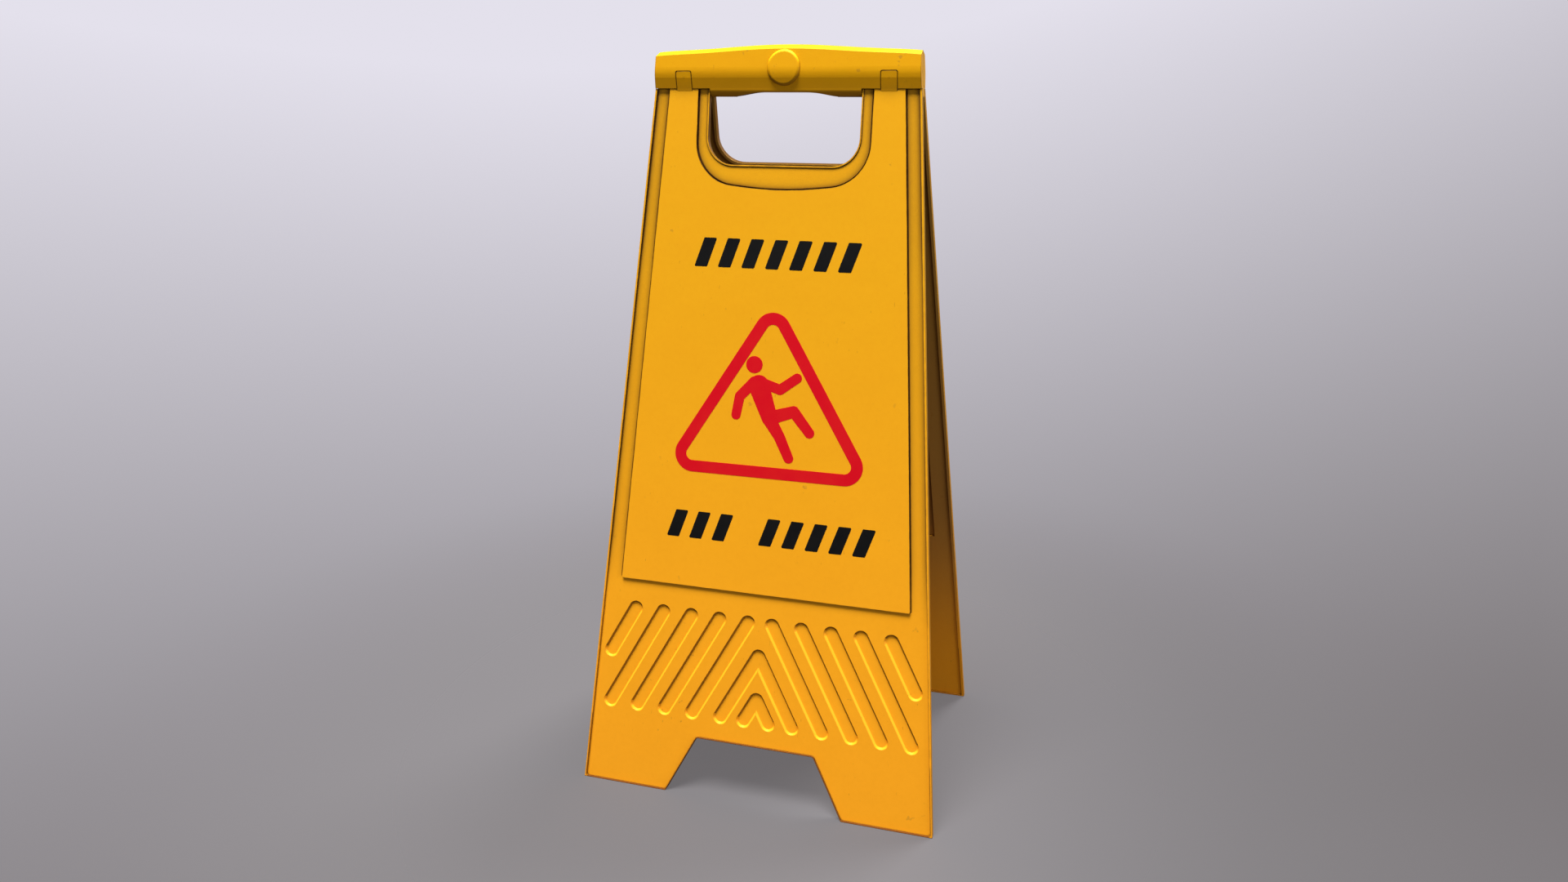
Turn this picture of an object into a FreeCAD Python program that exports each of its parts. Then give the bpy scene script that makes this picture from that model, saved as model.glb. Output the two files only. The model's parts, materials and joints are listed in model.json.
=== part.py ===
import FreeCAD, Part

import math
import os

"""Folding A-frame floor sign of moulded plastic: two leaning panels hinged under a carrying grip.

Row frame: +X to the right of the front panel, +Y to the rear, +Z up, origin on the floor at the middle of the
footprint. Each half of the sign is the same set of mouldings: the rear half is the front half turned round +Z.
A panel is drawn in its own plane: x across, v down the front face from the seam under the grip, d inwards
from the face. The grip is drawn across X in sections of Y and z, where z is the height above the seam.
"""

V = FreeCAD.Vector

# Overall, mm and degrees
PANEL_LENGTH = 580.0  # down the front face, from the seam to the front edge of the feet
TILT = 10.343  # lean of each open panel from the vertical
FACE_OFFSET = 7.9  # front face from the middle plane, at the seam
TOP_HALF_WIDTH = 104.9
BOTTOM_HALF_WIDTH = 152.4
PANEL_DEPTH = 6.0  # depth of the panel's edge walls
SEAM_HEIGHT = PANEL_LENGTH * math.cos(math.radians(TILT))
PART_GAP = 0.15  # half of the gap between the two halves of the grip
OVERRUN = 20.0  # how far cutters run past what they cut
WIDE = 200.0  # half length of cutters that span the whole sign

# Panel relief
SIDE_RIM = 1.5  # width of the raised rim along each side
FOOT_RIM = 0.7  # width of the rim round the feet
HAND_RIM = 1.0  # width of the rim round the hand opening
HAND_RIM_DEPTH = 1.1  # how far that rim lies below the sign area
FIELD_DEPTH = 1.8  # field and band below the sign area
GROOVE_DEPTH = 2.6
GROOVE_WIDTH = 1.1  # of the grooves at the sides of the sign area and along the band
EDGE_ROUND = 0.4

# Back of the panel
EDGE_WALL = 2.4
FIELD_BACK = 4.7  # depth of the hollow behind the field
SIGN_BACK = 2.9  # depth of the hollow behind the raised sign area
TOP_BAND = 9.0  # full thickness is kept this far below the seam
RIB_HALF = 0.9
RIB_BACK = 5.6
RIB_TOP_V = 96.0
RIB_BOTTOM_V = 388.0
RIB_REACH = 68.0

# Raised sign area
SIGN_TOP_HALF = 92.7
SIGN_BOTTOM_HALF = 122.3
SIGN_END = 397.2
SIGN_CORNER = 1.5

# Hand opening, and the band round it
HAND_HALF = 60.2
HAND_END = 56.8
HAND_CORNER = 21.0
BAND_HALF = 69.3
BAND_CORNER_V = 69.6
BAND_CORNER = 33.0
BAND_MIDDLE_V = 76.9
BAND_MIDDLE_RADIUS = 270.0

# Cut-out between the feet
FOOT_CUT_TOP_V = 528.6
FOOT_CUT_TOP_HALF = 50.6
FOOT_CUT_BOTTOM_HALF = 76.9
FOOT_CUT_CORNER = 3.0
FOOT_CORNER = 2.0
FOOT_TRIM = 2.0  # length of panel that the flat of the feet trims away

# Sunk slots of the lower field
SLOT_COUNT = 5
SLOT_FIRST_X = 10.3
SLOT_PITCH = 24.7
SLOT_TOP_V = 422.6
SLOT_BOTTOM_V = 507.4
SLOT_SHORT_BOTTOM_V = 462.4
SLOT_LEAN = 0.5413  # x for each unit of v
SLOT_RADIUS = 6.1
SLOT_FLOOR_RADIUS = 4.6
SLOT_DEPTH = 1.65
CHEVRON_TOPS_V = (450.3, 487.8)

# Grip section: (Y, z) of the front half
RIDGE_Z = 26.8
TOP_EDGE = (-8.7, 23.6)
SHOULDER = (-10.1, 16.0)
BULGE = (-10.5, 12.0)
NECK = (-10.2, 8.0)
LIP = (-8.6, 0.15)
UNDERSIDE = (-6.7, -4.1)
BELOW = (-2.4, -6.0)
GRIP_HALF_AT_SEAM = 104.7
GRIP_HALF_AT_TOP = 103.3
ARCH_STRAIGHT_FROM = 30.0
ARCH_SLOPE = 0.058
ARCH_RADIUS = 517.0
GRIP_WALL = 2.5
GRIP_FLOOR_Z = 4.2
GRIP_RIBS_X = (18.0, 38.0, 58.0, 96.0)
GRIP_RIB_HALF = 0.8
GRIP_RIB_BACK_Y = -2.0
RELIEF_HALF = 24.0
RELIEF_Z = -2.7
RELIEF_END_HALF = 42.0
RELIEF_END_Z = -6.2
RELIEF_BLEND = 70.0

# Hinge
HINGE_Z = -2.0
KNUCKLE_RADIUS = 4.0
KNUCKLE_CLEARANCE = 0.35
KNUCKLE_FIRST_X = 40.2
KNUCKLE_PITCH = 12.86
KNUCKLE_GAP = 0.3
KNUCKLE_COUNT = 5  # on each side of the hand opening
PIN_RADIUS = 1.6
PIN_CLEARANCE = 0.06
PIN_START_X = 46.0
PIN_END_X = 101.0
PIN_CHAMFER = 0.3
BORE_END_X = 101.6
KNURL_RADIUS = 1.75
KNURL_LENGTH = 7.0
KNURL_END_X = 100.4
PLUG_HEAD_RADIUS = 2.7
PLUG_HEAD = 1.3
PLUG_HEAD_ROUND = 0.5
PLUG_RADIUS = 1.7
PLUG_END_X = 45.6
CHANNEL_RADIUS = 3.1
FOLD_RELIEF = 14.0  # degrees cut away each side, below the hinge line

# Tabs that stand up from the panel into notches of the grip
TAB_IN = 74.4
TAB_OUT = 86.5
TAB_MIDDLE = (TAB_IN + TAB_OUT) / 2
TAB_TOP_Z = 12.65
TAB_BACK_Y = -7.5
TAB_ROUND = 1.5
TAB_GAP = 0.45
TONGUE_HEIGHT = 3.4
TONGUE_FRONT = 2.1  # depths of the tongue behind the face
TONGUE_BACK = 3.0
TONGUE_OUT = 102.1
TONGUE_PLAY = 0.3
LIP_THICKNESS = 1.2
RAMP_DROP = 2.0  # the fillet from the tab to the panel
RAMP_FOOT_Y = -8.25
RAMP_BACK_Y = -5.6
SCREW_Z = 8.6
SCREW_RADIUS = 1.45
SCREW_HOLE_RADIUS = 1.7
PILOT_RADIUS = 1.25
SCREW_TIP_Y = -9.2
BOSS_FRONT_Y = -9.1
BOSS_FACE_Y = -5.2
BOSS_MARGIN = 2.8
SCREW_HEAD_RADIUS = 2.8
SCREW_HEAD = 1.8
SCREW_HEAD_ROUND = 0.7
RECESS_REACH = 1.7
RECESS_HALF = 0.35
RECESS_DEPTH = 0.9

# Round cap on the face of the grip
CAP_Z = 15.2
CAP_RADIUS = 13.1
CAP_PROUD = 1.9
CAP_BEVEL = 2.6
CAP_BACK_Y = -6.8  # the disc is cut back from here to the face of the grip
STEM_RADIUS = 2.5
STEM_START_Y = -11.0
STEM_END_Y = -6.0


def corner(before, here, after, depth):
    """Start, middle and end of the arc that rounds one corner of an outline."""
    point = V(here[0], depth, -here[1])
    if here[2] == 0:
        return point, None, point
    back = (V(before[0], depth, -before[1]) - point).normalize()
    forth = (V(after[0], depth, -after[1]) - point).normalize()
    half = back.getAngle(forth) / 2
    reach = here[2] / math.tan(half)
    inwards = (back + forth).normalize()
    middle = point + inwards * (here[2] / math.sin(half) - here[2])
    return point + back * reach, middle, point + forth * reach


def outline(points, depth=0.0):
    """Closed wire in a plane of constant Y, from corners given as (across, down, radius)."""
    count = len(points)
    corners = [corner(points[i - 1], points[i], points[(i + 1) % count], depth) for i in range(count)]
    edges = []
    for i in range(count):
        start, middle, end = corners[i]
        if middle is not None:
            edges.append(Part.Arc(start, middle, end).toShape())
        edges.append(Part.LineSegment(end, corners[(i + 1) % count][0]).toShape())
    return Part.Wire(edges)


def both_sides(points):
    """The right-hand corners of a symmetric outline, followed by their mirror images."""
    return points + [(-x, v, r) for x, v, r in reversed(points)]


def prism(wire, start, end):
    """Solid from depth start to depth end, with the outline of a wire that lies at depth 0."""
    face = Part.Face(wire)
    face.translate(V(0, start, 0))
    return face.extrude(V(0, end - start, 0))


def box(x, y, z):
    """Box between pairs of limits."""
    return Part.makeBox(x[1] - x[0], y[1] - y[0], z[1] - z[0], V(x[0], y[0], z[0]))


def rod(radius, x_start, x_end):
    """Round bar along X on the hinge line."""
    return Part.makeCylinder(radius, x_end - x_start, V(x_start, 0, HINGE_Z), V(1, 0, 0))


def bar_along_y(radius, x, z, y_start, y_end):
    """Round bar along Y."""
    return Part.makeCylinder(radius, y_end - y_start, V(x, y_start, z), V(0, 1, 0))


# ---------------------------------------------------------------- panel


def panel_wire(top, end, side_rim, foot_rim):
    """Outline of the panel from v = top to v = end, drawn in by the rims at its sides and round its feet."""
    spread = (BOTTOM_HALF_WIDTH - TOP_HALF_WIDTH) / PANEL_LENGTH
    cut_spread = (FOOT_CUT_BOTTOM_HALF - FOOT_CUT_TOP_HALF) / (PANEL_LENGTH - FOOT_CUT_TOP_V)
    half = TOP_HALF_WIDTH - side_rim * math.hypot(1, spread)
    cut_half = FOOT_CUT_TOP_HALF + foot_rim * math.hypot(1, cut_spread)
    cut_top = FOOT_CUT_TOP_V - foot_rim
    return outline(both_sides([
        (half + spread * top, top, 0),
        (half + spread * end, end, FOOT_CORNER),
        (cut_half + cut_spread * (end - FOOT_CUT_TOP_V), end, FOOT_CORNER),
        (cut_half - cut_spread * foot_rim, cut_top, FOOT_CUT_CORNER),
    ]))


def rim_wire():
    """Inner edge of the rim along the sides and round the feet."""
    return panel_wire(-OVERRUN, PANEL_LENGTH - FOOT_RIM, SIDE_RIM, FOOT_RIM)


def sign_wire(margin=0.0):
    """Outline of the raised sign area, run on above the seam, with a margin along its sides."""
    spread = (SIGN_BOTTOM_HALF - SIGN_TOP_HALF) / SIGN_END
    half = SIGN_TOP_HALF + margin * math.hypot(1, spread)
    return outline(both_sides([
        (half - spread * OVERRUN, -OVERRUN, 0),
        (half + spread * SIGN_END, SIGN_END, SIGN_CORNER),
    ]))


def band_wire():
    """Outer edge of the band that runs round the hand opening."""
    right = [(BAND_HALF, -OVERRUN, 0), (BAND_HALF, BAND_CORNER_V, BAND_CORNER)]
    middle = [(0, BAND_MIDDLE_V, BAND_MIDDLE_RADIUS)]
    left = [(-x, v, r) for x, v, r in reversed(right)]
    return outline(right + middle + left)


def hand_wire():
    """Outline of the hand opening, run on above the seam."""
    return outline(both_sides([(HAND_HALF, -OVERRUN, 0), (HAND_HALF, HAND_END, HAND_CORNER)]))


def ring(outer, inner, depth):
    """Groove cutter between two nested outlines."""
    return prism(outer, -OVERRUN, depth).cut(prism(inner, -OVERRUN, OVERRUN))


def stadium(x0, v0, x1, v1, radius, depth):
    """Round-ended outline about the line from (x0, v0) to (x1, v1)."""
    along = V(x1 - x0, 0, v0 - v1).normalize()
    side = V(along.z, 0, -along.x) * radius
    top = V(x0, depth, -v0)
    bottom = V(x1, depth, -v1)
    return Part.Wire([
        Part.Arc(top - side, top - along * radius, top + side).toShape(),
        Part.LineSegment(top + side, bottom + side).toShape(),
        Part.Arc(bottom + side, bottom + along * radius, bottom - side).toShape(),
        Part.LineSegment(bottom - side, top - side).toShape(),
    ])


def slot_cutter(x0, v0, v1, side):
    """Cutter of one sunk slot with sloping walls."""
    x1 = x0 + SLOT_LEAN * (v1 - v0)
    growth = (SLOT_RADIUS - SLOT_FLOOR_RADIUS) / SLOT_DEPTH
    above = 0.5
    mouth = stadium(side * x0, v0, side * x1, v1, SLOT_RADIUS + growth * above, FIELD_DEPTH - above)
    floor = stadium(side * x0, v0, side * x1, v1, SLOT_FLOOR_RADIUS, FIELD_DEPTH + SLOT_DEPTH)
    return Part.makeLoft([mouth, floor], True, True)


def slot_cutters():
    """Cutters of the slanting slots and of the two chevrons between them."""
    cutters = []
    for side in (-1, 1):
        for i in range(SLOT_COUNT):
            bottom = SLOT_SHORT_BOTTOM_V if i == SLOT_COUNT - 1 else SLOT_BOTTOM_V
            cutters.append(slot_cutter(SLOT_FIRST_X + SLOT_PITCH * i, SLOT_TOP_V, bottom, side))
        for top in CHEVRON_TOPS_V:
            cutters.append(slot_cutter(0, top, SLOT_BOTTOM_V, side))
    return cutters


def front_relief():
    """Everything that is sunk below the front face of the panel."""
    sign = sign_wire()
    band = band_wire()
    hand_rim = hand_wire().makeOffset2D(HAND_RIM)
    raised = prism(sign, -OVERRUN, OVERRUN).cut(prism(band, -OVERRUN, OVERRUN))
    kept = prism(hand_rim, HAND_RIM_DEPTH, OVERRUN)
    field = prism(rim_wire(), -OVERRUN, FIELD_DEPTH).cut([raised, kept])
    grooves = [
        ring(sign_wire(GROOVE_WIDTH), sign, GROOVE_DEPTH),
        ring(band, band.makeOffset2D(-GROOVE_WIDTH), GROOVE_DEPTH),
    ]
    return [field, prism(hand_rim, -OVERRUN, HAND_RIM_DEPTH)] + grooves + slot_cutters()


def back_ribs():
    """Stiffening ribs across the hollow behind the sign area."""
    ribs = []
    for x in (-RIB_REACH, 0, RIB_REACH):
        ribs.append(box((x - RIB_HALF, x + RIB_HALF), (0, RIB_BACK), (-RIB_BOTTOM_V, -RIB_TOP_V)))
    for v in (RIB_TOP_V, (RIB_TOP_V + RIB_BOTTOM_V) / 2, RIB_BOTTOM_V):
        ribs.append(box((-RIB_REACH, RIB_REACH), (0, RIB_BACK), (-v - RIB_HALF, -v + RIB_HALF)))
    return ribs


def back_hollow():
    """Hollow behind the panel, which leaves the walls along its edges, the top band and the ribs."""
    hand_walls = prism(hand_wire().makeOffset2D(EDGE_WALL), 0, OVERRUN)
    keep = [hand_walls, box((-WIDE, WIDE), (0, OVERRUN), (-TOP_BAND, OVERRUN))] + back_ribs()
    whole = panel_wire(0, PANEL_LENGTH, 0, 0)
    field = prism(whole.makeOffset2D(-EDGE_WALL), FIELD_BACK, OVERRUN)
    sign = prism(sign_wire().makeOffset2D(-EDGE_WALL), SIGN_BACK, OVERRUN)
    band = prism(band_wire().makeOffset2D(EDGE_WALL), 0, FIELD_BACK)
    return [field.cut(keep), sign.cut(keep + [band])]


def tongue():
    """Tongue along the top of the panel, which goes up behind the lip of the grip."""
    root = 0.5
    pieces = []
    for side in (-1, 1):
        x = sorted((side * HAND_HALF, side * TONGUE_OUT))
        pieces.append(box(x, (TONGUE_FRONT, TONGUE_BACK), (-root, TONGUE_HEIGHT)))
    return pieces


def to_standing(shape):
    """Moves a shape from the panel's own plane to its lean, with the seam at z = 0."""
    shape = shape.copy()
    shape.rotate(V(0, 0, 0), V(1, 0, 0), -TILT)
    shape.translate(V(0, -FACE_OFFSET, 0))
    return shape


def tab_outline(side, play):
    """Round-cornered outline of a tab, wider and higher by play, run on below the seam."""
    low, high = sorted((side * (TAB_IN - play), side * (TAB_OUT + play)))
    top = -TAB_TOP_Z - play
    below = 5.0
    return outline([(low, below, 0), (low, top, TAB_ROUND), (high, top, TAB_ROUND), (high, below, 0)])


def tab(side):
    """Tab that stands up from the panel, flush with the face of the grip, with a fillet to the panel below."""
    x = sorted((side * TAB_IN, side * TAB_OUT))
    plate = prism(tab_outline(side, 0), -OVERRUN, TAB_BACK_Y)
    root = box(x, (-OVERRUN, RAMP_BACK_Y), (-OVERRUN, TONGUE_HEIGHT - TONGUE_PLAY))
    flush = grip_half(0, LIP[1]).common(plate.fuse(root))
    foot = [V(x[0], LIP[0], LIP[1]), V(x[0], RAMP_FOOT_Y, -RAMP_DROP), V(x[0], RAMP_BACK_Y, -RAMP_DROP),
            V(x[0], RAMP_BACK_Y, LIP[1])]
    ramp = Part.Face(Part.makePolygon(foot + foot[:1])).extrude(V(x[1] - x[0], 0, 0))
    return flush.fuse(ramp)


def is_outline_edge(edge):
    """True for an edge of the front or the back of a plain panel, other than its top edge."""
    middle = edge.valueAt((edge.FirstParameter + edge.LastParameter) / 2)
    on_face = min(abs(middle.y), abs(middle.y - PANEL_DEPTH)) < 0.01
    flat = edge.BoundBox.YLength < 0.01
    return on_face and flat and middle.z < -0.01


def make_panel():
    """Moulded panel with rim, sign area, slots, hand opening, feet, ribs and tabs, leaning, seam at z = 0."""
    panel = prism(panel_wire(0, PANEL_LENGTH + FOOT_TRIM, 0, 0), 0, PANEL_DEPTH)
    panel = panel.cut(prism(hand_wire(), -OVERRUN, OVERRUN))
    panel = panel.makeFillet(EDGE_ROUND, [e for e in panel.Edges if is_outline_edge(e)])
    panel = panel.cut(front_relief())
    panel = panel.cut(back_hollow())
    panel = panel.fuse(tongue())
    panel = to_standing(panel)
    panel = panel.fuse([tab(-1), tab(1)]).removeSplitter()
    below_floor = box((-WIDE, WIDE), (-WIDE, WIDE), (-SEAM_HEIGHT - OVERRUN, -SEAM_HEIGHT))
    cutters = [below_floor, rod(KNUCKLE_RADIUS + KNUCKLE_CLEARANCE, -WIDE, WIDE)]
    for side in (-1, 1):
        pilot_start = SCREW_TIP_Y - 0.2
        cutters.append(bar_along_y(PILOT_RADIUS, side * TAB_MIDDLE, SCREW_Z, pilot_start, TAB_BACK_Y + 0.5))
    return panel.cut(cutters)


# ---------------------------------------------------------------- grip


def arch(x):
    """How far the top of the grip has dropped at x, below its height at the middle."""
    x = abs(x)
    straight = max(0.0, x - ARCH_STRAIGHT_FROM)
    return min(x, ARCH_STRAIGHT_FROM) ** 2 / (2 * ARCH_RADIUS) + ARCH_SLOPE * straight


def grip_section(x, inset, bottom):
    """Closed section of the front half of the grip at x, drawn in by inset, down to z = bottom."""
    rise = arch(GRIP_HALF_AT_TOP) - arch(x)
    inner_y = min(-PART_GAP, inset - PART_GAP)
    top_slope = (RIDGE_Z - TOP_EDGE[1]) / TOP_EDGE[0]
    face_slope = (TOP_EDGE[0] - SHOULDER[0]) / (TOP_EDGE[1] - SHOULDER[1])
    neck_slope = (NECK[0] - LIP[0]) / (NECK[1] - LIP[1])
    ridge = V(x, inner_y, RIDGE_Z + rise - inset + top_slope * -inner_y)
    top_edge = V(x, TOP_EDGE[0] + face_slope * rise + inset * 0.75, TOP_EDGE[1] + rise - inset)
    shoulder = V(x, SHOULDER[0] + inset, SHOULDER[1])
    bulge = V(x, BULGE[0] + inset, BULGE[1])
    neck = V(x, NECK[0] + inset, NECK[1])
    lip = V(x, LIP[0] + neck_slope * (bottom - LIP[1]) + inset, bottom)
    inner = V(x, inner_y, bottom)
    return Part.Wire([
        Part.LineSegment(ridge, top_edge).toShape(),
        Part.LineSegment(top_edge, shoulder).toShape(),
        Part.Arc(shoulder, bulge, neck).toShape(),
        Part.LineSegment(neck, lip).toShape(),
        Part.LineSegment(lip, inner).toShape(),
        Part.LineSegment(inner, ridge).toShape(),
    ])


def grip_half(inset, bottom, half_length=GRIP_HALF_AT_SEAM + 2.0):
    """Solid front half of the grip between its ends, with the arched top."""
    middle = [-ARCH_STRAIGHT_FROM, -ARCH_STRAIGHT_FROM / 2, 0, ARCH_STRAIGHT_FROM / 2, ARCH_STRAIGHT_FROM]
    far = (half_length + ARCH_STRAIGHT_FROM) / 2
    stations = [-half_length, -far] + middle + [far, half_length]
    return Part.makeLoft([grip_section(x, inset, bottom) for x in stations], True, False)


def underside():
    """Lower part of the grip in the hand opening, rounded down to the hinge line, relieved in the middle."""
    x = -HAND_HALF + 0.5
    lip = V(x, LIP[0], LIP[1])
    below = V(x, BELOW[0], BELOW[1])
    inner_low = V(x, -PART_GAP, BELOW[1])
    inner_top = V(x, -PART_GAP, LIP[1] + 1.0)
    over_lip = V(x, LIP[0] + 0.5, LIP[1] + 1.0)
    wire = Part.Wire([
        Part.Arc(lip, V(x, UNDERSIDE[0], UNDERSIDE[1]), below).toShape(),
        Part.LineSegment(below, inner_low).toShape(),
        Part.LineSegment(inner_low, inner_top).toShape(),
        Part.LineSegment(inner_top, over_lip).toShape(),
        Part.LineSegment(over_lip, lip).toShape(),
    ])
    block = Part.Face(wire).extrude(V(-2 * x, 0, 0))
    relief = outline(both_sides([
        (100.0, OVERRUN, 0),
        (100.0, -RELIEF_END_Z, 0),
        (RELIEF_END_HALF, -RELIEF_END_Z, RELIEF_BLEND),
        (RELIEF_HALF, -RELIEF_Z, RELIEF_BLEND),
    ]))
    return block.cut(prism(relief, -OVERRUN, OVERRUN))


def knuckle_spans():
    """(start, end, owner) of every hinge knuckle; owner 1 is the front half, -1 the rear half."""
    spans = []
    for side in (-1, 1):
        for i in range(KNUCKLE_COUNT):
            start = KNUCKLE_FIRST_X + KNUCKLE_PITCH * i
            end = start + KNUCKLE_PITCH - KNUCKLE_GAP
            if i == KNUCKLE_COUNT - 1:
                end = GRIP_HALF_AT_SEAM + 2.0
            low, high = sorted((side * start, side * end))
            spans.append((low, high, side if i % 2 == 0 else -side))
    return spans


def own_knuckles():
    """Knuckles of the front half, each with a web up to the floor of the grip."""
    pieces = []
    for low, high, owner in knuckle_spans():
        if owner == 1:
            barrel = rod(KNUCKLE_RADIUS, low, high)
            web = box((low, high), (-KNUCKLE_RADIUS, -PART_GAP), (HINGE_Z, GRIP_FLOOR_Z - 0.5))
            pieces.append(barrel.fuse(web))
    return pieces


def fold_room():
    """Space that the other half's knuckles turn in, and the wedge below the hinge line for folding."""
    cutters = [rod(CHANNEL_RADIUS, -KNUCKLE_FIRST_X, KNUCKLE_FIRST_X)]
    for low, high, owner in knuckle_spans():
        if owner == -1:
            cutters.append(rod(KNUCKLE_RADIUS + KNUCKLE_CLEARANCE, low - KNUCKLE_GAP, high + KNUCKLE_GAP))
    spread = OVERRUN * math.tan(math.radians(FOLD_RELIEF))
    corners = [V(-WIDE, 1, HINGE_Z), V(-WIDE, -PART_GAP, HINGE_Z), V(-WIDE, -spread, HINGE_Z - OVERRUN),
               V(-WIDE, 1, HINGE_Z - OVERRUN)]
    cutters.append(Part.Face(Part.makePolygon(corners + corners[:1])).extrude(V(2 * WIDE, 0, 0)))
    return cutters


def end_cutters():
    """Cutters that trim both ends of the grip to their slight slope."""
    lean = (GRIP_HALF_AT_SEAM - GRIP_HALF_AT_TOP) / RIDGE_Z
    low, high = -10.0, 45.0
    cutters = []
    for side in (-1, 1):
        corners = [V(side * (GRIP_HALF_AT_SEAM - lean * low), -OVERRUN, low),
                   V(side * (GRIP_HALF_AT_SEAM - lean * high), -OVERRUN, high),
                   V(side * WIDE, -OVERRUN, high), V(side * WIDE, -OVERRUN, low)]
        cutters.append(Part.Face(Part.makePolygon(corners + corners[:1])).extrude(V(0, 2 * OVERRUN, 0)))
    return cutters


def grip_cavity():
    """Hollow of the grip, open to the middle plane, with cross ribs left standing in it."""
    half_length = GRIP_HALF_AT_TOP - GRIP_WALL - 0.6
    roof = RIDGE_Z - GRIP_WALL - 1.5
    hollow = grip_half(GRIP_WALL, GRIP_FLOOR_Z, half_length)
    open_side = box((-half_length, half_length), (-4.5, 1.0), (GRIP_FLOOR_Z, roof))
    ribs = []
    for x in GRIP_RIBS_X:
        for side in (-1, 1):
            span = (side * x - GRIP_RIB_HALF, side * x + GRIP_RIB_HALF)
            ribs.append(box(span, (-OVERRUN, GRIP_RIB_BACK_Y), (0, 2 * OVERRUN)))
    return hollow.fuse(open_side).cut(ribs)


def panel_room():
    """Room for the panel: the tongue slot behind the lip, and the notch round each tab."""
    behind_lip = (LIP[0] + LIP_THICKNESS, -KNUCKLE_RADIUS - 0.1)
    cutters = []
    for side in (-1, 1):
        x = sorted((side * (HAND_HALF - 0.5), side * (TONGUE_OUT + TONGUE_PLAY)))
        cutters.append(box(x, behind_lip, (-5.0, TONGUE_HEIGHT + TONGUE_PLAY)))
        cutters.append(prism(tab_outline(side, TAB_GAP), -OVERRUN, TAB_BACK_Y + 0.2))
    return cutters


def make_grip_shell():
    """Half shell of the grip with its knuckles, ribs and screw bosses."""
    shell = grip_half(0, LIP[1]).fuse(underside())
    shell = shell.cut([grip_cavity()])
    bosses = []
    holes = [bar_along_y(STEM_RADIUS + 0.1, 0, CAP_Z, -OVERRUN, 0)]
    for side in (-1, 1):
        x = sorted((side * (TAB_IN - BOSS_MARGIN), side * (TAB_OUT + BOSS_MARGIN)))
        bosses.append(box(x, (BOSS_FRONT_Y, BOSS_FACE_Y), (GRIP_FLOOR_Z - 0.5, TAB_TOP_Z + BOSS_MARGIN)))
        holes.append(bar_along_y(SCREW_HOLE_RADIUS, side * TAB_MIDDLE, SCREW_Z, -OVERRUN, 0))
    shell = shell.fuse(bosses).cut(panel_room() + fold_room())
    shell = shell.fuse(own_knuckles()).cut(holes + end_cutters())
    bores = []
    for side in (-1, 1):
        x = sorted((side * (KNUCKLE_FIRST_X - 1), side * BORE_END_X))
        bores.append(rod(PIN_RADIUS + PIN_CLEARANCE, x[0], x[1]))
    return shell.cut(bores).removeSplitter()


def make_cap():
    """Round cap with a rounded edge that lies on the face of the grip, with a stem through its wall."""
    reach = CAP_RADIUS + 4.0
    proud = grip_half(-CAP_PROUD, LIP[1], ARCH_STRAIGHT_FROM + reach)
    disc = proud.common(bar_along_y(CAP_RADIUS, 0, CAP_Z, -OVERRUN, CAP_BACK_Y))
    disc = disc.makeFillet(CAP_BEVEL, [e for e in disc.Edges if is_front_edge(e)])
    disc = disc.cut(grip_half(0, LIP[1]))
    return disc.fuse(bar_along_y(STEM_RADIUS, 0, CAP_Z, STEM_START_Y, STEM_END_Y))


def is_front_edge(edge):
    """True for the part of the cap's outline that lies on its proud face."""
    middle = edge.valueAt((edge.FirstParameter + edge.LastParameter) / 2)
    radius = math.hypot(middle.x, middle.z - CAP_Z)
    return abs(radius - CAP_RADIUS) < 0.01 and middle.y < TOP_EDGE[0] - 0.05


# ---------------------------------------------------------------- fasteners and hinge pieces


def round_edges(shape, x):
    """The round edges of a shape of revolution about the hinge line that lie in the plane at x."""
    return [e for e in shape.Edges if isinstance(e.Curve, Part.Circle) and abs(e.Curve.Center.x - x) < 0.01]


def make_pin():
    """Steel hinge pin with a knurled end, right-hand side."""
    pin = rod(PIN_RADIUS, PIN_START_X, PIN_END_X)
    pin = pin.makeChamfer(PIN_CHAMFER, round_edges(pin, PIN_START_X) + round_edges(pin, PIN_END_X))
    return pin.fuse(rod(KNURL_RADIUS, KNURL_END_X - KNURL_LENGTH, KNURL_END_X))


def make_plug():
    """Headed plug that closes the inner end of the pin's bore, right-hand side."""
    face = KNUCKLE_FIRST_X - PLUG_HEAD
    head = rod(PLUG_HEAD_RADIUS, face, KNUCKLE_FIRST_X)
    head = head.makeFillet(PLUG_HEAD_ROUND, round_edges(head, face))
    return head.fuse(rod(PLUG_RADIUS, KNUCKLE_FIRST_X, PLUG_END_X))


def make_screws():
    """Two pan-head screws with crossed recesses, driven from inside the grip into the panel's tabs."""
    face = BOSS_FACE_Y + SCREW_HEAD
    recess = (face - RECESS_DEPTH, face + 1)
    screws = []
    for side in (-1, 1):
        x = side * TAB_MIDDLE
        shank = bar_along_y(SCREW_RADIUS, x, SCREW_Z, SCREW_TIP_Y, BOSS_FACE_Y)
        head = bar_along_y(SCREW_HEAD_RADIUS, x, SCREW_Z, BOSS_FACE_Y, face)
        head = head.makeFillet(SCREW_HEAD_ROUND, [e for e in head.Edges if abs(e.CenterOfMass.y - face) < 0.01])
        for half_x, half_z in ((RECESS_REACH, RECESS_HALF), (RECESS_HALF, RECESS_REACH)):
            head = head.cut(box((x - half_x, x + half_x), recess, (SCREW_Z - half_z, SCREW_Z + half_z)))
        screws.append(shank.fuse(head))
    return Part.makeCompound(screws)


# ---------------------------------------------------------------- assembly


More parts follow.
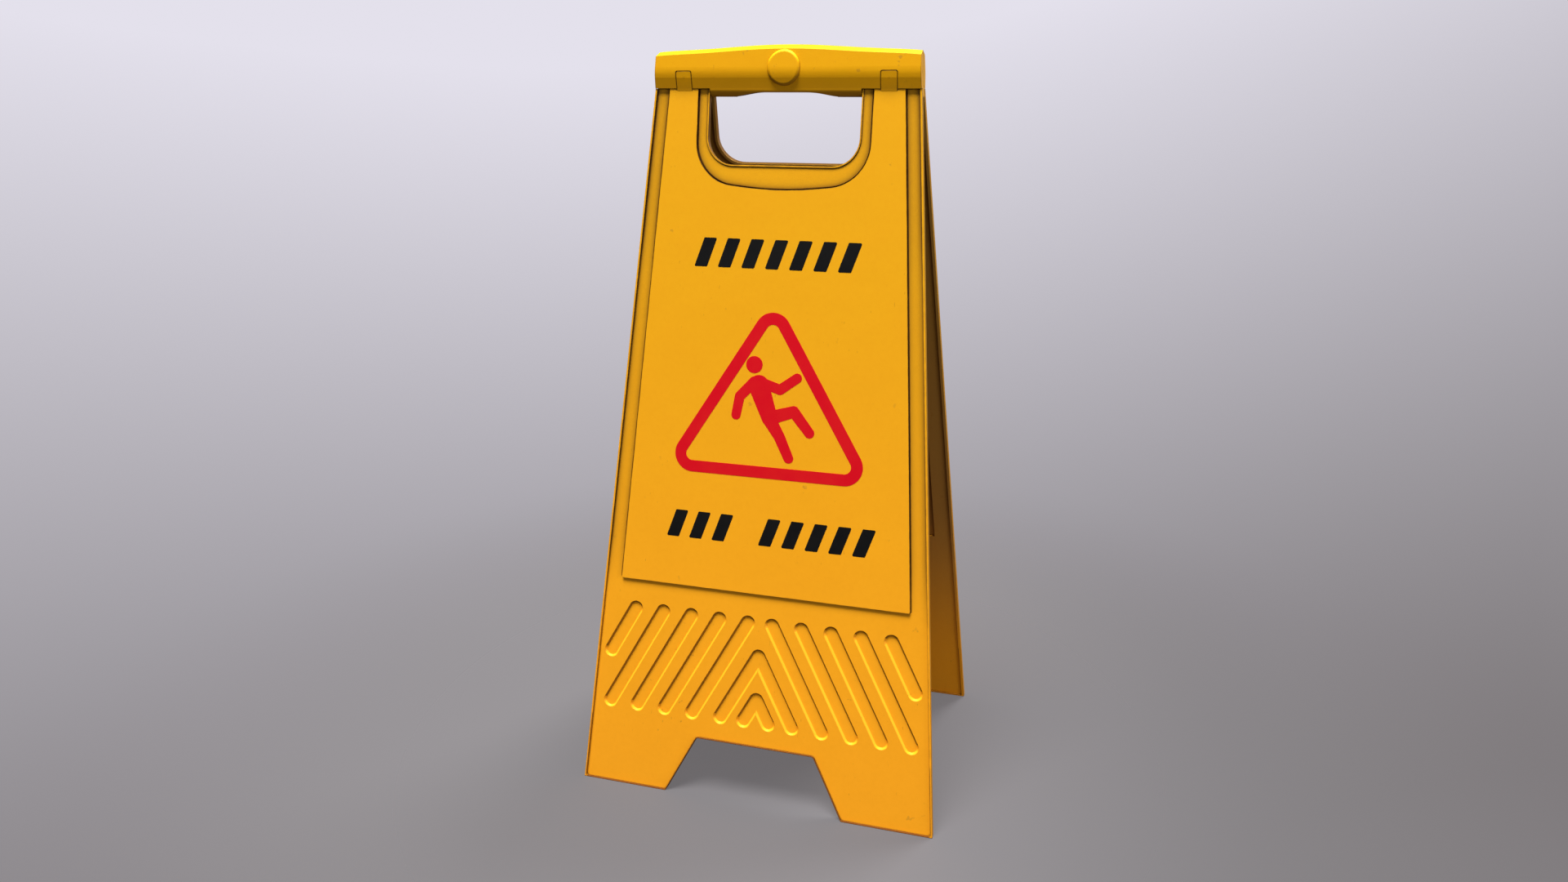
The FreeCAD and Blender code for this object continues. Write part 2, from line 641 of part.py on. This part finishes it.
def export(name, shape, turned):
    """Writes one node, standing on the floor; turned puts it on the rear half."""
    shape = shape.copy()
    shape.translate(V(0, 0, SEAM_HEIGHT))
    if turned:
        shape.rotate(V(0, 0, 0), V(0, 0, 1), 180)
    shape.exportStep("parts/" + name + ".step")
    state = "valid" if shape.isValid() else "INVALID"
    print(name, state, len(shape.Solids), round(shape.Volume / 1000, 2), "cm3")


def main():
    os.makedirs("parts", exist_ok=True)
    half = {
        "panel": make_panel(),
        "grip_shell": make_grip_shell(),
        "grip_cap": make_cap(),
        "grip_screws": make_screws(),
    }
    for name, shape in half.items():
        export("front_" + name, shape, False)
        export("rear_" + name, shape, True)
    pin = make_pin()
    plug = make_plug()
    export("right_hinge_pin", pin, False)
    export("left_hinge_pin", pin, True)
    export("right_hinge_plug", plug, False)
    export("left_hinge_plug", plug, True)


main()
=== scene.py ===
import json
import math
from collections import namedtuple

import bmesh
import bpy
from mathutils import Matrix, Vector
from mathutils.geometry import delaunay_2d_cdt


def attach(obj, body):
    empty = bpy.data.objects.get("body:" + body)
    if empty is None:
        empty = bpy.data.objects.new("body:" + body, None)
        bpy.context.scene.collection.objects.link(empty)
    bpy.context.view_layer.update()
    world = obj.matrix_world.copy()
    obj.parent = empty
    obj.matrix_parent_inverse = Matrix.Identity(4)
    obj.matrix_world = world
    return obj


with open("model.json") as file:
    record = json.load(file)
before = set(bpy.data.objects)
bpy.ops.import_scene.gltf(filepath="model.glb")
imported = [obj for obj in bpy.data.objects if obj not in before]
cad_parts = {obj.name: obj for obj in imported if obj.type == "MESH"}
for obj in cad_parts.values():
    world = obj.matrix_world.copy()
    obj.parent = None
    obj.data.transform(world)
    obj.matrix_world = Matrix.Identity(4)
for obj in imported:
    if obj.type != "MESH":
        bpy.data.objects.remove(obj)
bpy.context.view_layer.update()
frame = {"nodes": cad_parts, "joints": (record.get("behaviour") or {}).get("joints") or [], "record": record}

MM = 0.001
JOINT = frame["joints"][0]
HINGE_Z = JOINT["pos_m"][2]
SEAM_Z = HINGE_Z + 2 * MM  # top edge of the panels, 2 mm above the hinge line

# Printed marks, mm on the sign area: across, and down from the seam
INK_SUNK = 0.05
INK_PROUD = 0.12
ARC_STEP = math.radians(7.5)
RING_CORE = ((0, 183.9), (63, 286), (-63, 286))
RING_OUTER = 15.0
RING_INNER = 5.5
HEAD = (-14.0, 210.5, 6.8)
LIMBS = (  # points along each limb, with the half width at each
    ((-9.5, 227.0, 8.6), (0.5, 252.0, 6.6)),
    ((-10.0, 223.5, 4.2), (8.0, 229.0, 4.1), (21.5, 219.0, 3.9)),
    ((-13.5, 224.0, 4.2), (-25.0, 236.5, 4.1), (-27.5, 251.5, 3.9)),
    ((-0.5, 252.0, 5.6), (9.0, 266.0, 4.6), (17.5, 283.0, 4.1)),
    ((0.5, 252.0, 5.6), (20.0, 245.5, 4.6), (33.5, 261.5, 4.1)),
)
STRIPE_WIDTH = 10.4
STRIPE_PITCH = 19.4
STRIPE_SLANT = 7.0
STRIPE_ROUND = 1.0
STRIPE_ROWS = (  # top, bottom, left end of the first stripe, number of stripes
    (113.0, 135.6, -66.9, 7),
    (333.6, 356.2, -82.6, 3),
    (333.6, 356.2, -4.0, 5),
)

# How the tone of a moulding goes with the way its faces look: the upward parts of the normal between which a
# face turns to the colour of a painted highlight, the part forwards or backwards below which it counts as a
# side wall, the painted shade there, the downward parts between which it takes a painted shade, how dark,
# and up to what height.
Finish = namedtuple("Finish", "up light side grime down dullness dull_top")
FINISH = {
    "panel": Finish((0.30, 0.50), (1.0, 0.50, 0.018, 1), 0.25, 0.85, (-0.25, -0.12), 0.75, SEAM_Z),
    "grip_shell": Finish((0.60, 0.85), (0.50, 0.41, 0.006, 1), 0.0, 0.0, (-0.45, -0.15), 0.55, 1.0),
    "grip_cap": Finish((0.24, 0.52), (1.0, 0.62, 0.008, 1), 0.0, 0.0, (-0.45, -0.15), 0.55, 1.0),
}
SOFT_SHADE = (0.155, 0.225)  # heights between which the soft shade sets in, above the slots
DEEP_SHADE = (0.42, 0.48)  # and between which it grows deeper, round the hand opening
GRIP_TONE = (0.562, 0.582)  # heights between which the yellow turns to that of the grip
FOOT_EDGES = (0.056, 0.062)  # heights between which the heavy wear on the feet's edges ends
INSIDE_SHADE = (0.02, 0.22)  # heights between which the painted shade on the panels' insides grows
OPENINGS = (0.085, 0.095)  # distance from the middle, where the side walls of the openings end

# Colours of the yellow plastic, and of what lies on it
YELLOW_LOW = (0.98, 0.392, 0.0150, 1)  # near the floor
YELLOW_HIGH = (0.83, 0.392, 0.0080, 1)  # near the grip
YELLOW_GRIP = (0.79, 0.375, 0.0025, 1)
CLOUDED = (0.80, 0.30, 0.002, 1)
SPECKLED = (0.70, 0.24, 0.002, 1)
PAINTED_WALL_SHADE = (0.13, 0.052, 0.009, 1)  # painted shade on the side walls
PAINTED_HOLLOW_SHADE = (0.09, 0.085, 0.060, 1)  # painted shade on the panels' insides, deeper higher up
PAINTED_UNDERSIDE_SHADE = (0.16, 0.066, 0.010, 1)  # painted shade on faces that look down
SHADED = (0.12, 0.050, 0.007, 1)
# painted shade in the creases
PAINTED_CREASE_SHADE = (0.055, 0.021, 0.004, 1)
WORN = (0.17, 0.055, 0.010, 1)
SMUDGED = (0.30, 0.13, 0.02, 1)
SCRATCHED = (0.34, 0.13, 0.01, 1)
WIDE_REACH = 14 * MM  # of the soft shade
CLOSE_REACH = 2.5 * MM  # of the painted shade in the creases
EDGE_REACH = 0.9 * MM  # of the worn edges
EDGE_SOFTNESS = 0.35 * MM

# Colours of the other materials: the plain one, and the one it varies to
RED_INK = ((0.650, 0.0030, 0.012, 1), (0.70, 0.014, 0.009, 1))
BLACK_INK = ((0.0050, 0.0050, 0.0055, 1), (0.011, 0.009, 0.007, 1))
BLACK_PLASTIC = ((0.014, 0.014, 0.014, 1), (0.06, 0.05, 0.04, 1))
FLOOR_TONES = ((0.060, 0.057, 0.060, 1), (0.066, 0.063, 0.066, 1))
FLOOR_PAINTED_SHADE = (0.030, 0.028, 0.030, 1)
FLOOR_GLOW = 2.2
ZINC = (0.60, 0.60, 0.57, 1)
STEEL = (0.55, 0.55, 0.56, 1)

# Camera and studio, metres and degrees
CAMERA_PLACE = (0.23009, -0.82679, SEAM_Z + 1.6 * MM)
CAMERA_PITCH = 71.584
CAMERA_YAW = 15.716
CAMERA_LENS = 24.444
FLOOR_RADIUS = 0.8
FLOOR_FADE = (0.20, 0.75)  # radii between which the floor turns clear
FLOOR_DIM = (0.0, 0.45)  # distances to the right between which a painted shade darkens it
BACKDROP_RISE = (-0.66, 0.06)  # sine of the elevation, from the low tone to the high one
BACKDROP_POWER = 1.4
BACKDROP_LEAN = 0.13  # how much darker, in the same measure, towards the right
BACKDROP_CURVE = 0.35  # and towards both sides of the middle
BACKDROP_CURVE_END = 0.13
BACKDROP_MIDDLE = -0.257
BACKDROP_FRONT = (-0.1, 0.5)  # both only behind the sign, seen from the front
BACKDROP_LOW = (0.215, 0.199, 0.206, 1)
BACKDROP_HIGH = (0.775, 0.752, 0.838, 1)
AMBIENT = (0.118, 0.112, 0.112, 1)


# ---------------------------------------------------------------- camera, floor and light


def make_camera():
    data = bpy.data.cameras.new("camera")
    data.sensor_width = 36.0
    data.lens = CAMERA_LENS
    data.clip_start = 0.02
    data.clip_end = 50.0
    camera = bpy.data.objects.new("camera", data)
    camera.location = CAMERA_PLACE
    camera.rotation_euler = (math.radians(CAMERA_PITCH), 0, math.radians(CAMERA_YAW))
    bpy.context.scene.collection.objects.link(camera)
    bpy.context.scene.camera = camera


def make_floor():
    """Round pale floor whose rim fades into the backdrop."""
    mesh = bpy.data.meshes.new("floor")
    work = bmesh.new()
    bmesh.ops.create_circle(work, cap_ends=True, radius=FLOOR_RADIUS, segments=96)
    work.to_mesh(mesh)
    work.free()
    floor = bpy.data.objects.new("floor", mesh)
    floor.visible_diffuse = False
    floor.visible_glossy = False
    bpy.context.scene.collection.objects.link(floor)
    mesh.materials.append(floor_material())


def make_light(name, azimuth, elevation, distance, size, strength, colour):
    """Soft box that shines at the middle of the sign.

    strength is what a white surface that faces it gives back."""
    turn, rise = math.radians(azimuth), math.radians(elevation)
    away = Vector((math.sin(turn) * math.cos(rise), -math.cos(turn) * math.cos(rise), math.sin(rise)))
    data = bpy.data.lights.new(name, "AREA")
    data.shape = "DISK"
    data.size = size
    data.energy = strength * (math.pi * distance) ** 2
    data.color = colour
    light = bpy.data.objects.new(name, data)
    light.location = Vector((0, 0, SEAM_Z / 2)) + away * distance
    light.rotation_euler = away.to_track_quat("Z", "Y").to_euler()
    light.visible_camera = False
    bpy.context.scene.collection.objects.link(light)


def make_lights():
    make_light("front_key", -22, 75, 7.0, 3.2, 1.98, (1.0, 0.99, 0.97))
    make_light("rear_key", 150, 60, 7.0, 2.4, 1.15, (1.0, 0.99, 0.98))
    make_light("front_fill", -20, 25, 5.0, 2.6, 0.05, (0.98, 0.98, 1.0))
    make_light("side_fill", 68, 5, 5.0, 2.6, 0.24, (0.96, 0.97, 1.0))
    make_light("rear_fill", 150, 20, 5.0, 2.6, 0.16, (0.98, 0.98, 1.0))


def make_backdrop():
    """World that is seen as a pale gradient, and lights the sign only dimly."""
    world = bpy.data.worlds.new("studio")
    bpy.context.scene.world = world
    world.use_nodes = True
    tree = world.node_tree
    direction = add(tree, "SeparateXYZ", {0: add(tree, "TexCoord", {}).outputs["Generated"]})
    lean = maths(tree, "MULTIPLY", direction.outputs["X"], BACKDROP_LEAN)
    aside = maths(tree, "SUBTRACT", direction.outputs["X"], BACKDROP_MIDDLE)
    curve = maths(tree, "MULTIPLY", maths(tree, "MULTIPLY", aside, aside), BACKDROP_CURVE)
    curve = maths(tree, "MINIMUM", curve, BACKDROP_CURVE_END)
    ahead = ramp(tree, direction.outputs["Y"], *BACKDROP_FRONT)
    uneven = maths(tree, "MULTIPLY", maths(tree, "ADD", lean, curve), ahead)
    rise = maths(tree, "SUBTRACT", direction.outputs["Z"], uneven)
    low, high = BACKDROP_RISE
    tone = add(tree, "MapRange", {"Value": rise, "From Min": low, "From Max": high}).outputs["Result"]
    shown = blend(tree, maths(tree, "POWER", tone, BACKDROP_POWER), BACKDROP_LOW, BACKDROP_HIGH)
    seen = add(tree, "LightPath", {}).outputs["Is Camera Ray"]
    background = tree.nodes["Background"]
    tree.links.new(blend(tree, seen, AMBIENT, shown), background.inputs["Color"])


# ---------------------------------------------------------------- material building blocks


def new_material(name):
    material = bpy.data.materials.new(name)
    material.use_nodes = True
    tree = material.node_tree
    return material, tree, tree.nodes["Principled BSDF"]


def add(tree, kind, values, **settings):
    """Adds a shader node. values holds its inputs: numbers, colours, or other nodes' sockets."""
    node = tree.nodes.new("ShaderNode" + kind)
    for key, value in settings.items():
        setattr(node, key, value)
    for key, value in values.items():
        if isinstance(value, bpy.types.NodeSocket):
            tree.links.new(value, node.inputs[key])
        else:
            node.inputs[key].default_value = value
    return node


def maths(tree, operation, a, b=0.0):
    return add(tree, "Math", {0: a, 1: b}, operation=operation).outputs[0]


def ramp(tree, value, low, high, start=0.0, end=1.0):
    """Smooth step of value from low to high, from start to end."""
    values = {"Value": value, "From Min": low, "From Max": high, "To Min": start, "To Max": end}
    return add(tree, "MapRange", values, interpolation_type="SMOOTHSTEP").outputs["Result"]


def blend(tree, factor, a, b):
    """Colour a turned into b by factor."""
    return add(tree, "Mix", {0: factor, 6: a, 7: b}, data_type="RGBA").outputs[2]


def noise(tree, place, feature, detail=2.0, roughness=0.5, stretch=(1, 1, 1),
          shift=(0, 0, 0), turn=(0, 0, 0)):
    """Noise with features of about that size in metres."""
    scale = tuple(s / feature for s in stretch)
    moved = add(tree, "Mapping", {"Vector": place, "Scale": scale, "Location": shift, "Rotation": turn})
    values = {"Vector": moved.outputs[0], "Scale": 1.0, "Detail": detail, "Roughness": roughness}
    return add(tree, "TexNoise", values).outputs["Fac"]


def occlusion(tree, reach, samples, inside=False):
    """1 on an open surface, less where its own node shuts it in within reach.

    inside looks into the solid instead, which finds the outer edges."""
    settings = {"samples": samples, "inside": inside, "only_local": True}
    return add(tree, "AmbientOcclusion", {"Distance": reach}, **settings).outputs["AO"]


def bump(tree, height, distance, normal=None):
    values = {"Height": height, "Distance": distance, "Strength": 1.0}
    if normal is not None:
        values["Normal"] = normal
    return add(tree, "Bump", values).outputs["Normal"]


# ---------------------------------------------------------------- materials


def floor_material():
    """Plain matt floor, faintly mottled, with a painted shade towards the right, that turns clear towards
    its rim.

    Its own glow keeps the shadow light."""
    material, tree, shader = new_material("studio_floor")
    place = add(tree, "TexCoord", {}).outputs["Object"]
    tone = noise(tree, place, 0.5, 1.0)
    colour = blend(tree, tone, *FLOOR_TONES)
    across = add(tree, "SeparateXYZ", {0: place}).outputs["X"]
    # painted shade: darker towards the right
    colour = blend(tree, ramp(tree, across, *FLOOR_DIM, 0.0, 0.45), colour, FLOOR_PAINTED_SHADE)
    tree.links.new(colour, shader.inputs["Base Color"])
    tree.links.new(colour, shader.inputs["Emission Color"])
    shader.inputs["Emission Strength"].default_value = FLOOR_GLOW
    shader.inputs["Roughness"].default_value = 0.8
    shader.inputs["Specular IOR Level"].default_value = 0.1
    reach = add(tree, "VectorMath", {0: place}, operation="LENGTH").outputs["Value"]
    tree.links.new(ramp(tree, reach, *FLOOR_FADE, 1.0, 0.0), shader.inputs["Alpha"])
    return material


def yellow_material(name, shift, finish, inward):
    """Satin moulded plastic with a painted highlight where it looks up, painted shade in its creases,
    on its side walls, on its insides and where it looks down, and worn edges.

    inward is 1 or -1, the way along Y that the node's inside looks."""
    material, tree, shader = new_material(name)
    coordinates = add(tree, "TexCoord", {})
    place = coordinates.outputs["Object"]
    apart = add(tree, "SeparateXYZ", {0: place})
    height = apart.outputs["Z"]

    low = ramp(tree, height, 0.0, 0.5)
    colour = blend(tree, low, YELLOW_LOW, YELLOW_HIGH)
    colour = blend(tree, ramp(tree, height, *GRIP_TONE), colour, YELLOW_GRIP)
    cloud = noise(tree, place, 0.06, 3.0, 0.55, shift=shift)
    colour = blend(tree, ramp(tree, cloud, 0.35, 0.70, 0.0, 0.10), colour, CLOUDED)
    fine = noise(tree, place, 0.004, 3.0, 0.6, shift=shift)
    colour = blend(tree, ramp(tree, fine, 0.35, 0.75, 0.0, 0.07), colour, SPECKLED)

    # Painted highlight where it looks up; painted shade on the side walls, on the insides and where it looks
    # down
    facing = add(tree, "SeparateXYZ", {0: coordinates.outputs["Normal"]})
    flat = maths(tree, "ABSOLUTE", facing.outputs["Y"])
    flat = ramp(tree, flat, finish.side, finish.side + 0.15)
    # painted highlight: faces that look up get a lighter colour
    painted_highlight = maths(tree, "MULTIPLY", ramp(tree, facing.outputs["Z"], *finish.up), flat)
    colour = blend(tree, painted_highlight, colour, finish.light)
    # painted shade on the side walls, heavier on the walls of the openings
    aside = maths(tree, "ABSOLUTE", apart.outputs["X"])
    near = ramp(tree, aside, *OPENINGS, finish.grime, 0.5 * finish.grime)
    painted_wall_shading = maths(tree, "MULTIPLY", near, maths(tree, "SUBTRACT", 1.0, flat))
    colour = blend(tree, painted_wall_shading, colour, PAINTED_WALL_SHADE)
    # painted shade on the panels' insides, deeper higher up
    inside = ramp(tree, maths(tree, "MULTIPLY", facing.outputs["Y"], inward), 0.5, 0.8)
    painted_hollow_shade = maths(tree, "MULTIPLY", inside, ramp(tree, height, *INSIDE_SHADE, 0.0, 0.6))
    colour = blend(tree, painted_hollow_shade, colour, PAINTED_HOLLOW_SHADE)
    # painted shade on faces that look down, only below the given height
    painted_under_shade = ramp(tree, facing.outputs["Z"], *finish.down, finish.dullness, 0.0)
    painted_under_shade = maths(tree, "MULTIPLY", painted_under_shade, maths(tree, "SUBTRACT", 1.0, inside))
    below_top = ramp(tree, height, finish.dull_top - 3 * MM, finish.dull_top - 1 * MM, 1.0, 0.0)
    painted_under_shade = maths(tree, "MULTIPLY", painted_under_shade, below_top)
    colour = blend(tree, painted_under_shade, colour, PAINTED_UNDERSIDE_SHADE)

    # Painted soft shade in the corners of the upper relief, then painted shade at the bottom of each crease
    wide = occlusion(tree, WIDE_REACH, 16)
    shade = maths(tree, "POWER", maths(tree, "SUBTRACT", 1.0, wide), 0.55)
    shade = maths(tree, "MULTIPLY", shade, ramp(tree, height, *SOFT_SHADE, 0.0, 1.25))
    shade = maths(tree, "MULTIPLY", shade, ramp(tree, height, *DEEP_SHADE, 1.0, 1.4))
    colour = blend(tree, shade, colour, SHADED)
    # painted shade at the bottom of the creases, kept off the painted highlight
    close = occlusion(tree, CLOSE_REACH, 8)
    unhighlighted = maths(tree, "SUBTRACT", 1.0, painted_highlight)
    painted_crease_shade = maths(tree, "MULTIPLY", ramp(tree, close, 0.35, 0.80, 0.78, 0.0), unhighlighted)
    painted_crease_shade = maths(tree, "MAXIMUM", painted_crease_shade, ramp(tree, close, 0.25, 0.50, 0.9, 0.0))
    colour = blend(tree, painted_crease_shade, colour, PAINTED_CREASE_SHADE)

    # Handled and knocked outer edges
    edge = ramp(tree, occlusion(tree, EDGE_REACH, 8, inside=True), 0.55, 0.95, 1.0, 0.0)
    patch = ramp(tree, noise(tree, place, 0.012, 4.0, 0.6, shift=shift), 0.30, 0.65)
    patch = maths(tree, "MAXIMUM", patch, ramp(tree, height, *FOOT_EDGES, 1.0, 0.0))
    patch = maths(tree, "MULTIPLY", patch, ramp(tree, height, *FOOT_EDGES, 0.95, 0.55))
    colour = blend(tree, maths(tree, "MULTIPLY", edge, patch), colour, WORN)

    # Smudges, in a few places only
    spots = ramp(tree, noise(tree, place, 0.007, 2.0, 0.6, shift=shift), 0.66, 0.74)
    where = ramp(tree, noise(tree, place, 0.05, 1.0, 0.5, shift=shift), 0.56, 0.66)
    smudge = maths(tree, "MULTIPLY", spots, where)
    colour = blend(tree, maths(tree, "MULTIPLY", smudge, 0.40), colour, SMUDGED)

    # Fine scratches that run mostly up and down
    along = {"stretch": (1.0, 1.0, 0.018), "turn": (0, 0.12, 0)}
    lines = noise(tree, place, 0.0009, 1.0, 0.4, shift=shift, **along)
    area = ramp(tree, noise(tree, place, 0.07, 1.0, 0.5, shift=shift), 0.54, 0.64)
    scratch = maths(tree, "MULTIPLY", ramp(tree, lines, 0.74, 0.80), area)
    colour = blend(tree, maths(tree, "MULTIPLY", scratch, 0.45), colour, SCRATCHED)
    tree.links.new(colour, shader.inputs["Base Color"])

    rough = ramp(tree, cloud, 0.3, 0.7, 0.40, 0.50)
    rough = maths(tree, "ADD", rough, maths(tree, "MULTIPLY", smudge, 0.15))
    rough = maths(tree, "ADD", rough, ramp(tree, close, 0.4, 0.9, 0.25, 0.0))
    tree.links.new(rough, shader.inputs["Roughness"])
    shader.inputs["Specular IOR Level"].default_value = 0.10

    grain = noise(tree, place, 0.00055, 2.0, 0.6, shift=shift)
    soft = noise(tree, place, 0.03, 2.0, 0.5, shift=shift)
    rounded = add(tree, "Bevel", {"Radius": EDGE_SOFTNESS}, samples=4).outputs["Normal"]
    normal = bump(tree, soft, 0.00022, rounded)
    normal = bump(tree, grain, 0.000022, normal)
    normal = bump(tree, maths(tree, "SUBTRACT", 1.0, scratch), 0.00003, normal)
    tree.links.new(normal, shader.inputs["Normal"])
    return material


def ink_material(name, colour, thin):
    """Screen-printed ink, a little uneven, that lets the grain of the plastic show."""
    material, tree, shader = new_material(name)
    place = add(tree, "TexCoord", {}).outputs["Object"]
    cloud = noise(tree, place, 0.025, 4.0, 0.6)
    speck = ramp(tree, noise(tree, place, 0.0016, 2.0, 0.6), 0.60, 0.78)
    tone = blend(tree, ramp(tree, cloud, 0.35, 0.7, 0.0, 0.35), colour, thin)
    tone = blend(tree, maths(tree, "MULTIPLY", speck, 0.18), tone, thin)
    tree.links.new(tone, shader.inputs["Base Color"])
    tree.links.new(ramp(tree, cloud, 0.3, 0.7, 0.44, 0.54), shader.inputs["Roughness"])
    shader.inputs["Specular IOR Level"].default_value = 0.12
    grain = noise(tree, place, 0.0006, 2.0, 0.6)
    tree.links.new(bump(tree, grain, 0.00002), shader.inputs["Normal"])
    return material


def steel_material(name, colour, along):
    """Drawn or plated steel with fine marks across the given stretch."""
    material, tree, shader = new_material(name)
    place = add(tree, "TexCoord", {}).outputs["Object"]
    marks = noise(tree, place, 0.0004, 3.0, 0.6, stretch=along)
    stain = noise(tree, place, 0.004, 3.0, 0.6)
    dark = tuple(0.6 * c for c in colour[:3]) + (1,)
    tone = blend(tree, ramp(tree, stain, 0.4, 0.75, 0.0, 0.5), colour, dark)
    tree.links.new(tone, shader.inputs["Base Color"])
    tree.links.new(ramp(tree, marks, 0.3, 0.7, 0.26, 0.42), shader.inputs["Roughness"])
    shader.inputs["Metallic"].default_value = 1.0
    tree.links.new(bump(tree, marks, 0.00001), shader.inputs["Normal"])
    return material


def plug_material():
    material, tree, shader = new_material("plug_plastic")
    place = add(tree, "TexCoord", {}).outputs["Object"]
    fine = noise(tree, place, 0.0005, 2.0, 0.6)
    dust = ramp(tree, noise(tree, place, 0.002, 3.0, 0.6), 0.5, 0.8, 0.0, 0.3)
    tree.links.new(blend(tree, dust, *BLACK_PLASTIC), shader.inputs["Base Color"])
    tree.links.new(ramp(tree, fine, 0.3, 0.7, 0.42, 0.55), shader.inputs["Roughness"])
    tree.links.new(bump(tree, fine, 0.00002), shader.inputs["Normal"])
    return material


def dress_cad_nodes():
    """Gives every CAD node its finish."""
    steel = {
        "zinc_steel": steel_material("zinc_plate", ZINC, (1, 1, 1)),
        "pin_steel": steel_material("drawn_steel", STEEL, (0.05, 1, 1)),
        "black_plastic": plug_material(),
    }
    for index, part in enumerate(frame["record"]["subparts"]):
        if part["material_slot"] == "yellow_plastic":
            finish = FINISH[part["node"].split("_", 1)[1]]
            shift = (0.37 * index, 1.9 * index, 0.71 * index)
            inward = 1 if part["node"].startswith("front") else -1
            material = yellow_material("yellow_" + part["node"], shift, finish, inward)
        else:
            material = steel[part["material_slot"]]
        for slot in frame["nodes"][part["node"]].material_slots:
            slot.material = material


# ---------------------------------------------------------------- printed marks


def sign_plane():
    """Origin on the seam's middle, and the directions across, down and out of the front sign area."""
    panel = frame["nodes"]["front_panel"]
    bpy.context.view_layer.update()
    points = []
    for share in (0.75, 0.4):
        hit, point, _, _ = panel.ray_cast(Vector((0, -1, SEAM_Z * share)), Vector((0, 1, 0)))
        assert hit
        points.append(point)
    across = Vector((1, 0, 0))
    down = (points[1] - points[0]).normalized()
    origin = points[0] + down * ((SEAM_Z - points[0].z) / down.z)
    return origin, across, down, down.cross(across).normalized()


def arc(centre, radius, start, end):
    """Points round an arc, from angle start to angle end."""
    count = max(2, math.ceil(abs(end - start) / ARC_STEP))
    angles = [start + (end - start) * i / count for i in range(count + 1)]
    return [(centre[0] + radius * math.cos(a), centre[1] + radius * math.sin(a)) for a in angles]


def around(points):
    """Outline that stays a radius away from each point of a convex loop of (across, down, radius)."""
    outline = []
    count = len(points)
    for i in range(count):
        before, here, after = points[i - 1], points[i], points[(i + 1) % count]
        first = tangent(before, here)
        last = tangent(here, after)
        while last < first:
            last += 2 * math.pi
        outline += arc(here, here[2], first, last)
    return outline


def tangent(a, b):
    """Angle of the outward normal of the common tangent of two circles, travelled from a to b."""
    length = math.hypot(b[0] - a[0], b[1] - a[1])
    heading = math.atan2(b[1] - a[1], b[0] - a[0])
    return heading - math.acos((a[2] - b[2]) / length)


def limb_outlines(points):
    """One outline for each stretch of a limb."""
    return [around((a, b)) for a, b in zip(points, points[1:])]


def stripe_outline(left, top, bottom):
    """Slanting stripe with slightly rounded corners."""
    r = STRIPE_ROUND
    upper = (left + STRIPE_SLANT, left + STRIPE_SLANT + STRIPE_WIDTH)
    lower = (left, left + STRIPE_WIDTH)
    return around([(upper[0] + r, top + r, r), (upper[1] - r, top + r, r),
                   (lower[1] - r, bottom - r, r), (lower[0] + r, bottom - r, r)])


def ink_layer(name, outlines, hole, plane, half_turn, body, slot, material):
    """Thin solid layer of ink on the sign area, over the union of the outlines, less the hole."""
    loops = outlines + ([hole] if hole else [])
    points = [Vector(p) for loop in loops for p in loop]
    faces = []
    for loop in loops:
        start = len(faces) and faces[-1][-1] + 1
        faces.append(list(range(start, start + len(loop))))
    result = delaunay_2d_cdt(points, [], faces, 1, 1e-6)
    flat, triangles, sources = result[0], result[2], result[5]
    hole_index = len(outlines)
    kept = [t for t, s in zip(triangles, sources) if s and hole_index not in s]
    origin, across, down, out = plane
    turn = Matrix.Rotation(math.pi, 4, "Z") if half_turn else Matrix.Identity(4)
    work = bmesh.new()
    used = sorted({i for t in kept for i in t})
    layers = []
    for rise in (INK_PROUD, -INK_SUNK):
        places = {i: origin + (across * flat[i].x + down * flat[i].y + out * rise) * MM for i in used}
        layers.append({i: work.verts.new(turn @ place) for i, place in places.items()})
    front, back = layers
    edges = {}
    for t in kept:
        work.faces.new([front[i] for i in t])
        work.faces.new([back[i] for i in reversed(t)])
        for pair in zip(t, t[1:] + t[:1]):
            edges[pair] = True
    for a, b in edges:
        if (b, a) not in edges:
            work.faces.new((front[b], front[a], back[a], back[b]))
    bmesh.ops.recalc_face_normals(work, faces=work.faces)
    mesh = bpy.data.meshes.new(name)
    work.to_mesh(mesh)
    work.free()
    mesh.materials.append(material)
    piece = bpy.data.objects.new(name, mesh)
    bpy.context.scene.collection.objects.link(piece)
    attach(piece, body)


def make_marks():
    """Warning triangle with a slipping figure, and the rows of stripes, on both panels."""
    red = ink_material("red_ink", *RED_INK)
    black = ink_material("black_ink", *BLACK_INK)
    plane = sign_plane()
    ring_outer = around([(x, v, RING_OUTER) for x, v in RING_CORE])
    ring_inner = around([(x, v, RING_INNER) for x, v in RING_CORE])
    figure = [arc(HEAD, HEAD[2], 0, 2 * math.pi)[:-1]]
    for limb in LIMBS:
        figure += limb_outlines(limb)
    for side, half_turn in (("front", False), ("rear", True)):
        body = side + "_half"
        place = (plane, half_turn, body)
        ink_layer(side + "_warning_triangle", [ring_outer], ring_inner, *place, "red_ink", red)
        ink_layer(side + "_slipping_figure", figure, None, *place, "red_ink", red)
        for row, (top, bottom, left, count) in enumerate(STRIPE_ROWS):
            stripes = [stripe_outline(left + STRIPE_PITCH * i, top, bottom) for i in range(count)]
            ink_layer(f"{side}_stripes_{row + 1}", stripes, None, *place, "black_ink", black)


# ---------------------------------------------------------------- scene


make_camera()
make_floor()
make_lights()
make_backdrop()
bpy.context.scene.view_settings.view_transform = "Standard"
dress_cad_nodes()
make_marks()
